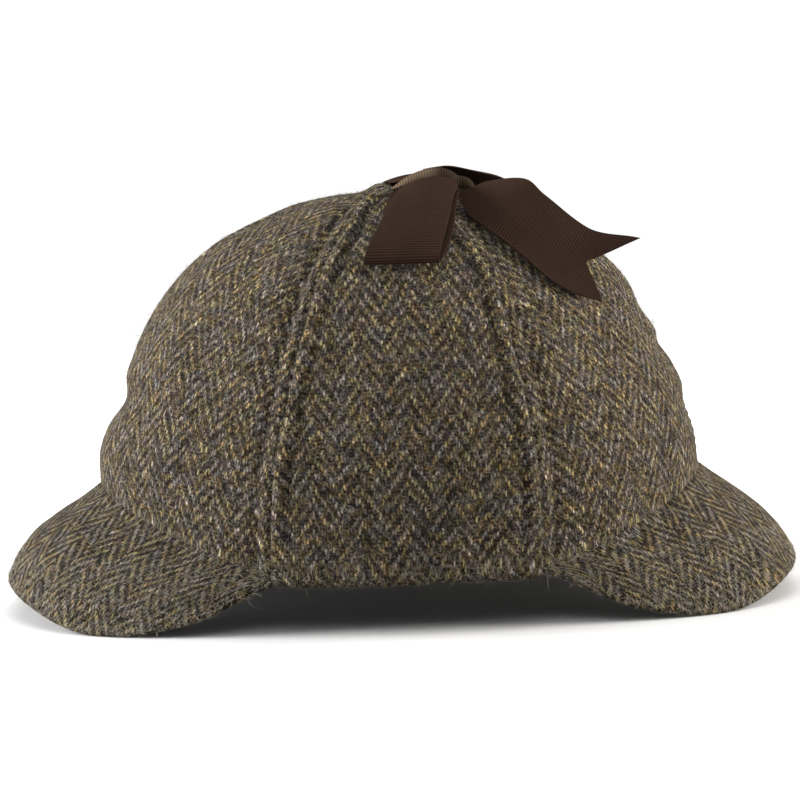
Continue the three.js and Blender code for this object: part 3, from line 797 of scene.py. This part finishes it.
# Crown panels.
def seam(number, rise):
    """Angle of a seam, counted from the front over the left side: every third one runs down an end."""
    turn = 180 * (number // 3) + 0 * rise
    if number % 3 == 1:
        turn = turn + (side_middle(rise) - side_half(rise))
    if number % 3 == 2:
        turn = turn + (side_middle(rise) + side_half(rise))
    return turn


SOFT_CROWN = Ripple(3, 46.0)
SOFT_FINE = Ripple(5, 17.0)
# Outer faces that carry loose fibres, with their outward directions.
fuzzy = []


def beyond_flap(angle, rise):
    """Distance from the nearer flap's edge, positive outside the flap, in millimetres."""
    off = np.abs(angle % 180 - side_middle(rise))
    return (off - side_half(rise) - FLAP_OVERLAP_DEG) * degree_length(angle, rise)


def crown_relief(angle, rise):
    """Bands and stitch lines that stand off the crown beside the flaps and beside the end seams."""
    edge = beyond_flap(angle, rise)
    fade = 1 - soft_step(FLAP_TIP_RISE - 0.03, FLAP_TIP_RISE + 0.03, rise)
    lift = 1.3 * hump(edge - 2.6, 2.0) - 1.0 * hump(edge - CROWN_STITCH_OUT, 1.3)
    lift = lift * fade
    turn = angle % 180
    off = np.minimum(turn, 180 - turn) * degree_length(angle, rise)
    thin = soft_step(4, 10, crown_section(rise)[0] * 0.3)
    return lift + thin * (0.3 * hump(off - 2.8, 1.6) - 0.6 * hump(off - SEAM_STITCH_IN, 0.75))


def knot_pucker(face):
    """Cloth drawn up beside the knot."""
    away = (face[..., :2] - PUCKER_SPOT) / PUCKER_REACH
    return PUCKER_LIFT * np.exp(-(away[..., 0] ** 2) - away[..., 1] ** 2)


def crown_panel(name, node, number, under_flap):
    s, t = np.meshgrid(graded(112, 1.5, 1.25), graded(134, 0.7, 1.25))
    rise = 0 * s
    for _ in range(5):
        angle = seam(number, rise) + s * (seam(number + 1, rise) - seam(number, rise))
        rise = edge_rise(angle)
    rise = rise + t * (TIP_RISE - rise)
    lap = np.degrees(SEAM_LAP / np.maximum(crown_section(rise)[1], 1))
    first = seam(number, rise) - lap
    last = seam(number + 1, rise) + lap
    angle = first + s * (last - first)
    face = crown_face(angle, rise)
    out, _ = crown_ways(angle, rise)
    face = face + out * knot_pucker(face)[..., None]
    across, along = runs(face)
    ring = rounding(across, along, 1.5, 0.7)
    lift = 0 * rise
    if not under_flap:
        inside = soft_step(3.0, 12.0, np.abs(beyond_flap(angle, rise)))
        lift = crown_relief(angle, rise) + inside * (0.55 * SOFT_CROWN(face) + 0.16 * SOFT_FINE(face))
    half = CROWN_WALL / 2
    upper = ring * (half + lift)
    lower = ring * (half - 0.5 * lift)
    _, top = cloth(name, face - out * half, out, upper, lower, lay_flat(face), TWEED, node)
    if not under_flap:
        fuzzy.append((top, grid_normals(top, out)))


PANELS = ["front_left", "side_left", "back_left", "back_right", "side_right", "front_right"]
for number, place in enumerate(PANELS):
    crown_panel("tweed_" + place, "crown_panel_" + place, number, under_flap=place.startswith("side"))


# Peaks.
def peak_spot(across, along, depth, arch):
    angle = PEAK_START + across * (PEAK_END - PEAK_START)
    off = np.abs(angle)
    width, slope, aim, camber = (table_value(PEAK_SECTIONS, k, off) for k in (1, 2, 3, 4))
    slope = np.radians(slope)
    aim = np.radians(aim) * np.sign(angle)
    root = crown_face(angle, edge_rise(angle)) + np.array([0, 0, PEAK_ROOT_RISE])
    run = np.stack([-np.cos(aim) * np.cos(slope), -np.sin(aim) * np.cos(slope), -np.sin(slope)], -1)
    out = np.stack([-np.cos(aim) * np.sin(slope), -np.sin(aim) * np.sin(slope), np.cos(slope)], -1)
    share = 1 - along
    rise = arch * camber * np.sin(np.pi * share**1.4) - depth
    return root + run * (share * width)[..., None] + out * rise[..., None], out


def peak(name, node, turn, seed, lean, arch):
    s, t = np.meshgrid(graded(180, 0.8, 1.3), graded(46, 1.5, 1.1)[:-EDGE_ROWS])
    middle, out = peak_spot(s, t, PEAK_WALL / 2, arch)
    half_wall = np.full(middle.shape[:2], PEAK_WALL / 2)
    angle = PEAK_START + s[:1] * (PEAK_END - PEAK_START)
    tuck_out, _ = crown_ways(angle, edge_rise(angle))
    tuck = [peak_spot(s[:1], 0 * s[:1] + 1, PEAK_WALL / 2, arch)[0]]
    walls = [half_wall[:1]]
    for depth, height, wall in PEAK_TUCK:
        spot = crown_face(angle, edge_rise(angle)) - tuck_out * depth
        tuck.append(spot + np.array([0, 0, height - PIECE_GAP]))
        walls.append(0 * angle + wall)
    middle = np.concatenate([middle] + tuck)
    half_wall = np.concatenate([half_wall] + walls)
    out = np.concatenate([out] + [np.repeat(out[-1:], 2, 0)] + [tuck_out] * 3)
    across, along = runs(middle)
    ring = rounding(across, along, 0.8, 1.5)
    soft = 0.35 * Ripple(seed, 40.0)(middle) + 0.12 * Ripple(seed + 1, 15.0)(middle)
    uv = lay_flat(middle[::-1])[::-1]
    skew = math.radians(lean)
    uv = uv @ np.array([[math.cos(skew), math.sin(skew)], [-math.sin(skew), math.cos(skew)]])
    normal = grid_normals(middle, out) * turn
    soft = soft * soft_step(0.5, 1.4, half_wall)
    upper = ring * (half_wall + soft)
    lower = ring * (half_wall - soft)
    _, top = cloth(name, middle * turn, normal, upper, lower, uv, TWEED_PEAK, node, PEAK_LOWEST)
    fuzzy.append((top[: -len(tuck)], normal[: -len(tuck)]))


peak("tweed_peak_front", "peak_front", NO_TURN, seed=21, lean=1.0, arch=FRONT_CAMBER)
peak("tweed_peak_back", "peak_back", HALF_TURN, seed=27, lean=-3.0, arch=BACK_CAMBER)


# Ear flaps.
def flap_spot(across, along, layer):
    share = np.maximum((along - FLAP_LIP_SHARE) / (1 - FLAP_LIP_SHARE), 0)
    side = 2 * across - 1
    bottom = edge_rise(side_middle(0 * side) + side * (side_half(0 * side) + FLAP_OVERLAP_DEG))
    rise = bottom + share * (FLAP_TIP_RISE - bottom)
    angle = side_middle(rise) + side * (side_half(rise) + FLAP_OVERLAP_DEG)
    off = FLAP_CLEARANCE + table_value(FLAP_STAND_OFF, 1, share) + layer
    out, up = crown_ways(angle, rise)
    lip = np.clip(1 - along / FLAP_LIP_SHARE, 0, 1)
    bend = np.minimum(lip / 0.6, 1) * np.pi / 2
    under = np.maximum((lip - 0.6) / 0.4, 0) * CROWN_WALL
    move = out * (off * np.cos(bend) - under)[..., None] - up * (off * np.sin(bend))[..., None]
    return crown_face(angle, rise) + move


def flap_band(inset):
    """Puffed edge and sunk stitch line of a flap at a distance from its edge."""
    return 0.9 * hump(inset - 3.0, 1.9) - 0.9 * hump(inset - FLAP_STITCH_IN, 1.35)


def ear_flap(name, node, turn, seed):
    s, t = np.meshgrid(graded(72, 1.5, 1.1), graded(136, 1.5, 1.2))
    half = FLAP_WALL / 2
    middle = flap_spot(s, t, half)
    out = unit(flap_spot(s, t, half + 0.5) - flap_spot(s, t, half - 0.5))
    across, along = runs(middle)
    ring = rounding(across, along, 1.5)
    inset = np.minimum(across, across[:, -1:] - across)
    soft = 0.5 * Ripple(seed, 38.0)(middle) + 0.15 * Ripple(seed + 1, 15.0)(middle)
    soft = np.maximum(soft, -0.6) * soft_step(4, 14, inset) + flap_band(inset) * soft_step(14, 22, along)
    uv = lay_flat(middle) + np.array([FLAP_WEAVE_SHIFT, 0.0])
    out = out * turn
    piece, top = cloth(name, middle * turn, out, ring * (half + soft), ring * half, uv, TWEED, node)
    fuzzy.append((top, grid_normals(top, out)))
    return top, out, across, along


flap_left = ear_flap("tweed_flap_left", "ear_flap_left", NO_TURN, 33)
flap_right = ear_flap("tweed_flap_right", "ear_flap_right", HALF_TURN, 37)


# Ribbons.
def ribbon(name, node, sections, notch, seed):
    """Ribbon of grosgrain along sections: middle point, direction across, width, bulge."""
    points = np.array([row[0] for row in sections], float)
    ways = np.array([row[1] for row in sections], float)
    shares = np.linspace(0, 1, len(sections))
    spread = np.array([(share, row[2], row[3]) for share, row in zip(shares, sections)])
    fine = np.linspace(0, 1, 801)
    length_at = lengths(spline(points, fine))
    length = length_at[-1]
    even = np.interp(np.linspace(0, length, 801), length_at, fine)
    place = np.interp(graded(length, 0.35, 0.55), fine, even)
    side, along = np.meshgrid(graded(RIBBON_WIDTH, 0.35, 0.9), place)
    reach = along * (1 - notch * (1 - np.abs(2 * side - 1)))
    line = spline(points, reach)
    tangent = unit(spline(points, np.minimum(reach + 1e-3, 1)) - spline(points, np.maximum(reach - 1e-3, 0)))
    wide = unit(spline(ways, reach))
    out = unit(np.cross(wide, tangent))
    width = table_value(spread, 1, reach)
    bulge = table_value(spread, 2, reach)
    curl = (0.15 + bulge) * (1 - (2 * side - 1) ** 2) + 0.16 * Ripple(seed, 24.0)(line)
    middle = line + wide * ((side - 0.5) * width)[..., None] + out * curl[..., None]
    across, run = runs(middle)
    ring = rounding(across, run, 0.3)
    half = RIBBON_WALL / 2
    uv = np.stack([side * RIBBON_WIDTH, np.interp(reach, fine, length_at)], -1)
    piece, _ = cloth(name, middle, out, ring * half, ring * half, uv, RIBBON, node)


def upright(path, side):
    """Sections of a ribbon that runs out over one side of the hat."""
    rows = []
    for out, up, shift, width, *more in path:
        tilt, bulge = more or (0, 0)
        turn = math.radians(tilt)
        rows.append(((shift, side * out, up), (math.cos(turn), 0, math.sin(turn)), width, -side * bulge))
    return rows


def tail(path, side):
    """Sections of a free end of ribbon on one side of the hat."""
    rows = []
    for x, out, up, across_x, across_out, across_up, width in path:
        rows.append(((x, side * out, up), (across_x, side * across_out, across_up), width, 0))
    return rows


left_loop = upright(LOOP_LEFT, LEFT)
right_loop = upright(LOOP_RIGHT, RIGHT)
left_tail = tail(TAIL_LEFT, LEFT)
right_tail = tail(TAIL_RIGHT, RIGHT)
ribbon("ribbon_tie_left", "tie_left", upright(TIE_PATH, LEFT), 0, 51)
ribbon("ribbon_tie_right", "tie_right", upright(TIE_PATH, RIGHT), 0, 52)
ribbon("ribbon_loop_left", "bow_loop_left", left_loop, 0, 53)
ribbon("ribbon_loop_right", "bow_loop_right", right_loop, 0, 54)
ribbon("ribbon_tail_left", "bow_tail_left", left_tail, TAIL_NOTCH, 55)
ribbon("ribbon_tail_right", "bow_tail_right", right_tail, TAIL_NOTCH, 56)


# Knot: the ribbon drawn together and wound once over the roots of the loops.
def knot():
    x = np.linspace(KNOT_SECTIONS[0, 0], KNOT_SECTIONS[-1, 0], 70)
    wide, low, high = (table_value(KNOT_SECTIONS, k, x) for k in (1, 2, 3))
    turn = np.linspace(0, 2 * np.pi, 97)[:-1]
    xs, th = np.meshgrid(x, turn, indexing="ij")
    share = (xs - x[0]) / (x[-1] - x[0])
    crease = 0
    for at, sway, deep, reach in KNOT_CREASES:
        gap = (th - at - sway * np.sin(3 * share + at) + np.pi) % (2 * np.pi) - np.pi
        crease = crease + deep * hump(gap, reach)
    flat = np.sign(np.cos(th)) * np.abs(np.cos(th)) ** 0.8
    rise = np.sign(np.sin(th)) * np.abs(np.sin(th)) ** 0.8
    ends = np.sqrt(np.clip(1 - (2 * share - 1) ** 24, 0, 1))
    taper = np.maximum(ends, 0.02)
    y = (wide[:, None] - crease * np.abs(np.cos(th))) * flat * taper
    middle = ((low + high) / 2)[:, None]
    half = ((high - low) / 2)[:, None]
    z = middle + half * rise * taper - crease * np.maximum(np.sin(th), 0) * ends
    grid = np.stack([xs, y, z], -1)
    n, m = grid.shape[:2]
    ids = np.arange(n * m).reshape(n, m)
    ids = np.concatenate([ids, ids[:, :1]], 1)
    tip = np.full(m, n * m)
    front_cap = np.stack([tip, ids[0, :-1], ids[0, 1:]], -1)
    back_cap = np.stack([tip + 1, ids[-1, 1:], ids[-1, :-1]], -1)
    verts = np.concatenate([grid.reshape(-1, 3), [grid[0].mean(0), grid[-1].mean(0)]])
    uv = np.stack([th * 5.0, xs], -1).reshape(-1, 2)
    uv = np.concatenate([uv, [[0, x[0]], [0, x[-1]]]])
    piece = new_mesh("ribbon_knot", verts, [grid_quads(ids), front_cap, back_cap], uv, KNOT)
    join(piece, "bow_knot")


knot()


# Sewing threads along the stitch lines.
def stitches(lines, pitch=3.2, size=2.3, radius=0.2):
    sides = 6
    ring = np.linspace(0, 2 * np.pi, sides + 1)[:-1]
    shape = np.array([(-0.5, 0.15), (-0.4, 0.85), (0.0, 1.0), (0.4, 0.85), (0.5, 0.15)])
    verts, faces, maps = [], [], []
    start = 0
    for line, out in lines:
        run = lengths(line)
        for middle in np.arange(pitch / 2, run[-1] - pitch / 2, pitch):
            ends = [point_at(middle + d, run, line) for d in (-0.6, 0.6)]
            spot = (ends[0] + ends[1]) / 2
            way = unit(ends[1] - ends[0])
            up = point_at(middle, run, out)
            side = unit(np.cross(way, up))
            up = np.cross(side, way)
            for along, thick in shape:
                arch = -0.35 * (2 * along) ** 2
                centre = spot + way * along * size + up * (arch + 0.05)
                circle = np.cos(ring)[:, None] * side + np.sin(ring)[:, None] * up
                verts.append(centre + circle * radius * thick)
                maps.append(np.stack([ring / 6.28, np.full(sides, along * size)], -1))
            for _ in shape[1:]:
                for k in range(sides):
                    a = start + k
                    b = start + (k + 1) % sides
                    faces.append((a, b, b + sides, a + sides))
                start += sides
            start += sides
    verts = np.concatenate(verts)
    piece = new_mesh("tweed_topstitch", verts, [np.array(faces)], np.concatenate(maps), THREAD)
    join(piece)


def sunk_line(angle, rise, depth):
    """Line under the crown's face and over its edge, with its outward directions."""
    keep = rise > edge_rise(angle) + 0.012
    out, _ = crown_ways(angle[keep], rise[keep])
    return crown_face(angle[keep], rise[keep]) - depth * out, out


def crown_stitch_lines():
    rise = np.linspace(0.03, FLAP_TIP_RISE - 0.02, 260)
    lines = []
    for base in (0, 180):
        for side in (-1, 1):
            edge = side_middle(rise) + side * (side_half(rise) + FLAP_OVERLAP_DEG)
            angle = base + edge + side * CROWN_STITCH_OUT / degree_length(edge, rise)
            lines.append(sunk_line(angle, rise, 0.85))
    rise = np.linspace(0.15, 0.9, 260)
    for base in (0, 180):
        for side in (-1, 1):
            angle = base + side * SEAM_STITCH_IN / degree_length(base + 0 * rise, rise)
            lines.append(sunk_line(angle, rise, 0.4))
    return lines


def flap_stitch_lines(flap):
    top, out, across, along = flap
    first = int(np.searchsorted(along[:, 0], 20.0))
    lines = []
    for step in (1, -1):
        line, ways = [], []
        for row in range(first, len(top) - EDGE_ROWS - 1):
            run = np.abs(across[row, ::step] - across[row, ::step][0])
            line.append(point_at(FLAP_STITCH_IN, run, top[row, ::step]))
            ways.append(point_at(FLAP_STITCH_IN, run, out[row, ::step]))
        lines.append((np.array(line), np.array(ways)))
    return lines


stitches(crown_stitch_lines() + flap_stitch_lines(flap_left) + flap_stitch_lines(flap_right))


# Loose wool fibres that stand off the cloth.
def fibres(name, count, size, width, rise, seed, segments):
    rng = np.random.default_rng(seed)
    areas, spots, ways = [], [], []
    for top, normal in fuzzy:
        one = np.cross(top[:-1, 1:] - top[:-1, :-1], top[1:, :-1] - top[:-1, :-1])
        across, along = runs(top)
        inset = np.minimum(np.minimum(across, across[:, -1:] - across), np.minimum(along, along[-1:] - along))
        dense = 1 + FUZZ_ADDED * (top[:-1, :-1, 2] < FUZZ_LOW_HEIGHT)
        dense = dense + FUZZ_ADDED * (inset[:-1, :-1] < FUZZ_EDGE)
        areas.append((np.linalg.norm(one, axis=-1) * dense).ravel())
        spots.append(np.stack([top[:-1, :-1], top[:-1, 1:], top[1:, :-1], top[1:, 1:]], 2).reshape(-1, 4, 3))
        ways.append(normal[:-1, :-1].reshape(-1, 3))
    areas, spots, ways = np.concatenate(areas), np.concatenate(spots), np.concatenate(ways)
    cell = rng.choice(len(areas), size=count, p=areas / areas.sum())
    a, b = rng.uniform(size=(2, count, 1))
    quad = spots[cell]
    root = (quad[:, 0] * (1 - a) + quad[:, 1] * a) * (1 - b) + (quad[:, 2] * (1 - a) + quad[:, 3] * a) * b
    out = ways[cell]
    lie = unit(np.cross(out, unit(rng.normal(size=(count, 3)))))
    turn = unit(np.cross(out, lie))
    long = rng.uniform(*size, size=(count, 1))
    lift = rng.uniform(*rise, size=(count, 1))
    bend = rng.normal(0, 0.5, size=(count, 1))
    side = unit(np.cross(lie, out + 0.3 * rng.normal(size=(count, 3))))
    grid = []
    for k in range(segments + 1):
        t = k / segments
        spot = root + lie * long * t * (1 - 0.2 * t) + turn * long * bend * t * t
        spot = spot + out * long * (lift * t * (1.5 - 0.9 * t)) + out * 0.05
        thick = width * (1 - 0.7 * k / segments) / 2
        grid.append(np.stack([spot - side * thick, spot + side * thick], 1))
    verts = np.stack(grid, 1)
    verts[..., 2] = np.maximum(verts[..., 2], FUZZ_LOWEST)
    each = 2 * (segments + 1)
    base = np.arange(count)[:, None] * each
    quads = [base + np.array([[2 * k, 2 * k + 1, 2 * k + 3, 2 * k + 2]]) for k in range(segments)]
    tone = np.repeat(rng.beta(2.2, 2.0, size=(count, 1)), each, 1)
    tip = np.repeat(np.repeat(np.arange(segments + 1) / segments, 2)[None], count, 0)
    uv = np.stack([tone, tip], -1).reshape(-1, 2)
    piece = new_mesh(name, verts.reshape(-1, 3), quads, uv, FIBRE)
    join(piece)


fibres("tweed_fuzz_short", 42000, (0.9, 2.6), width=0.1, rise=(0.15, 0.7), seed=61, segments=2)
fibres("tweed_fuzz_long", 3200, (2.5, 6.5), width=0.11, rise=(0.05, 0.45), seed=62, segments=4)


# Floor, background and light.
def stage():
    net = Net("floor_pale_with_painted_shade")
    place = net.node("ShaderNodeTexCoord")
    split = net.node("ShaderNodeSeparateXYZ")
    net.put(split.inputs[0], place.outputs["Object"])
    x, y = split.outputs[0], split.outputs[1]
    away = net.math("SQRT", net.add(net.mul(x, x), net.mul(y, y)))
    grain = net.noise(net.mul(x, 30.0), net.mul(y, 30.0), 2.0)
    # Painted shade: the floor is darker under and near the hat, and paler further out.
    pale = net.add(net.scale(away, 0.10, 0.30), net.swing(grain, 0.04))
    colour = net.ramp(pale, [(0.0, (0.29, 0.29, 0.29)), (1.0, (0.56, 0.56, 0.56))])
    material = net.finish(colour, None, 0.0, 0.9, 0.1, 0.0, (1.0, 1.0, 1.0))
    sides = 96
    ring = np.linspace(0, 2 * np.pi, sides + 1)[:-1]
    rim = np.stack([np.cos(ring), np.sin(ring), 0 * ring], -1) * FLOOR_RADIUS
    verts = np.concatenate([rim, [[0, 0, 0]]])
    faces = np.array([[k, (k + 1) % sides, sides] for k in range(sides)])
    floor = new_mesh("floor", verts, [faces], None, material, False)

    world = bpy.data.worlds.new("studio")
    bpy.context.scene.world = world
    world.use_nodes = True
    back = world.node_tree.nodes["Background"]
    back.inputs["Color"].default_value = (1.0, 1.0, 1.0, 1.0)
    back.inputs["Strength"].default_value = WORLD_STRENGTH


def lamp(name, spot, aim, size, power, colour=(1.0, 1.0, 1.0)):
    data = bpy.data.lights.new(name, "AREA")
    data.shape = "SQUARE"
    data.size = size
    data.energy = power
    data.color = colour
    ahead = unit(np.array(aim, float) - np.array(spot, float))
    right = unit(np.cross(ahead, (0.0, 1.0, 0.0) if abs(ahead[2]) > 0.95 else (0.0, 0.0, 1.0)))
    stand(bpy.data.objects.new(name, data), right, np.cross(right, ahead), ahead, spot)


stage()
lamp("light_front", (0.0, -1.3, 1.35), aim=(0, 0, 0.05), size=1.0, power=12.0)
lamp("light_top", (0.0, 0.0, 1.6), aim=(0, 0, 0), size=1.2, power=20.0)
lamp("light_left", (-1.6, 0.0, 0.42), aim=(0, 0, 0.07), size=1.0, power=150.0)
lamp("light_right", (1.6, 0.0, 0.42), aim=(0, 0, 0.07), size=1.0, power=118.0, colour=(1.0, 0.965, 0.90))
bpy.context.scene.view_settings.view_transform = "Standard"
